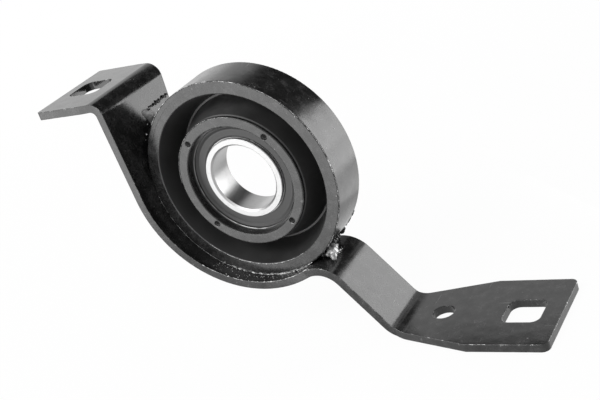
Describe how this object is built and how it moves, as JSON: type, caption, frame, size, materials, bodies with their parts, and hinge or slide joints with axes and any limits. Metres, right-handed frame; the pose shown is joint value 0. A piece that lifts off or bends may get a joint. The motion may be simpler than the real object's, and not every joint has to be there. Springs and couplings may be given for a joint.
{
  "type": "driveshaft centre bearing",
  "caption": "Sealed ball bearing held by a folded rubber diaphragm in a steel ring, welded into a folded strap bracket with two slotted ears, to support a driveshaft.",
  "frame": {"origin": "middle of the ball bearing, on its axis", "axes": "+Y along the shaft, away from the side with the open rubber fold; +X towards the long ear; +Z normal to both ears, upwards"},
  "size_m": [0.1992, 0.046, 0.1223],
  "materials": {
    "bracket_paint": "black semi-gloss paint over sheet steel",
    "ring_paint": "black semi-gloss paint over turned tube",
    "diaphragm_rubber": "moulded black rubber, faint sheen",
    "carrier_paint": "black satin paint over pressed steel",
    "race_steel": "ground bearing steel",
    "seal_rubber": "dark grey moulded rubber over a steel shield",
    "cage_steel": "pressed ribbon steel",
    "rivet_steel": "plain steel",
    "ball_steel": "polished ball steel",
    "bare_weld": "bare silvery weld metal with spatter",
    "painted_weld": "weld bead under black paint"
  },
  "bodies": {
    "housing": {"strap_bracket": "bracket_paint", "outer_ring": "ring_paint", "rubber_diaphragm": "diaphragm_rubber", "bearing_carrier": "carrier_paint", "outer_race": "race_steel", "front_seal": "seal_rubber", "rear_seal": "seal_rubber", "long_side_weld": "bare_weld", "short_side_weld": "painted_weld"},
    "inner_race": {"inner_race": "race_steel"},
    "cage": {"cage_front_half": "cage_steel", "cage_rear_half": "cage_steel", "cage_rivets": "rivet_steel"},
    "ball_01": {"ball_01": "ball_steel"},
    "ball_02": {"ball_02": "ball_steel"},
    "ball_03": {"ball_03": "ball_steel"},
    "ball_04": {"ball_04": "ball_steel"},
    "ball_05": {"ball_05": "ball_steel"},
    "ball_06": {"ball_06": "ball_steel"},
    "ball_07": {"ball_07": "ball_steel"},
    "ball_08": {"ball_08": "ball_steel"},
    "ball_09": {"ball_09": "ball_steel"},
    "ball_10": {"ball_10": "ball_steel"},
    "ball_11": {"ball_11": "ball_steel"}
  },
  "joints": [
    {"name": "inner_race_spin", "type": "hinge", "parent": "housing", "child": "inner_race", "pos_m": [0, 0, 0], "axis": [0, 1, 0], "continuous": true},
    {"name": "cage_spin", "type": "hinge", "parent": "housing", "child": "cage", "pos_m": [0, 0, 0], "axis": [0, 1, 0], "continuous": true},
    {"name": "ball_01_spin", "type": "hinge", "parent": "cage", "child": "ball_01", "pos_m": [0, 0, 0.02125], "axis": [0, 1, 0], "continuous": true},
    {"name": "ball_02_spin", "type": "hinge", "parent": "cage", "child": "ball_02", "pos_m": [-0.01149, 0, 0.01788], "axis": [0, 1, 0], "continuous": true},
    {"name": "ball_03_spin", "type": "hinge", "parent": "cage", "child": "ball_03", "pos_m": [-0.01933, 0, 0.00883], "axis": [0, 1, 0], "continuous": true},
    {"name": "ball_04_spin", "type": "hinge", "parent": "cage", "child": "ball_04", "pos_m": [-0.02103, 0, -0.00302], "axis": [0, 1, 0], "continuous": true},
    {"name": "ball_05_spin", "type": "hinge", "parent": "cage", "child": "ball_05", "pos_m": [-0.01606, 0, -0.01392], "axis": [0, 1, 0], "continuous": true},
    {"name": "ball_06_spin", "type": "hinge", "parent": "cage", "child": "ball_06", "pos_m": [-0.00599, 0, -0.02039], "axis": [0, 1, 0], "continuous": true},
    {"name": "ball_07_spin", "type": "hinge", "parent": "cage", "child": "ball_07", "pos_m": [0.00599, 0, -0.02039], "axis": [0, 1, 0], "continuous": true},
    {"name": "ball_08_spin", "type": "hinge", "parent": "cage", "child": "ball_08", "pos_m": [0.01606, 0, -0.01392], "axis": [0, 1, 0], "continuous": true},
    {"name": "ball_09_spin", "type": "hinge", "parent": "cage", "child": "ball_09", "pos_m": [0.02103, 0, -0.00302], "axis": [0, 1, 0], "continuous": true},
    {"name": "ball_10_spin", "type": "hinge", "parent": "cage", "child": "ball_10", "pos_m": [0.01933, 0, 0.00883], "axis": [0, 1, 0], "continuous": true},
    {"name": "ball_11_spin", "type": "hinge", "parent": "cage", "child": "ball_11", "pos_m": [0.01149, 0, 0.01788], "axis": [0, 1, 0], "continuous": true}
  ],
  "couplings": [
    {"joint": "cage_spin", "follows": "inner_race_spin", "ratio": 0.41595},
    {"joint": "ball_01_spin", "follows": "inner_race_spin", "ratio": -2.8905},
    {"joint": "ball_02_spin", "follows": "inner_race_spin", "ratio": -2.8905},
    {"joint": "ball_03_spin", "follows": "inner_race_spin", "ratio": -2.8905},
    {"joint": "ball_04_spin", "follows": "inner_race_spin", "ratio": -2.8905},
    {"joint": "ball_05_spin", "follows": "inner_race_spin", "ratio": -2.8905},
    {"joint": "ball_06_spin", "follows": "inner_race_spin", "ratio": -2.8905},
    {"joint": "ball_07_spin", "follows": "inner_race_spin", "ratio": -2.8905},
    {"joint": "ball_08_spin", "follows": "inner_race_spin", "ratio": -2.8905},
    {"joint": "ball_09_spin", "follows": "inner_race_spin", "ratio": -2.8905},
    {"joint": "ball_10_spin", "follows": "inner_race_spin", "ratio": -2.8905},
    {"joint": "ball_11_spin", "follows": "inner_race_spin", "ratio": -2.8905}
  ]
}
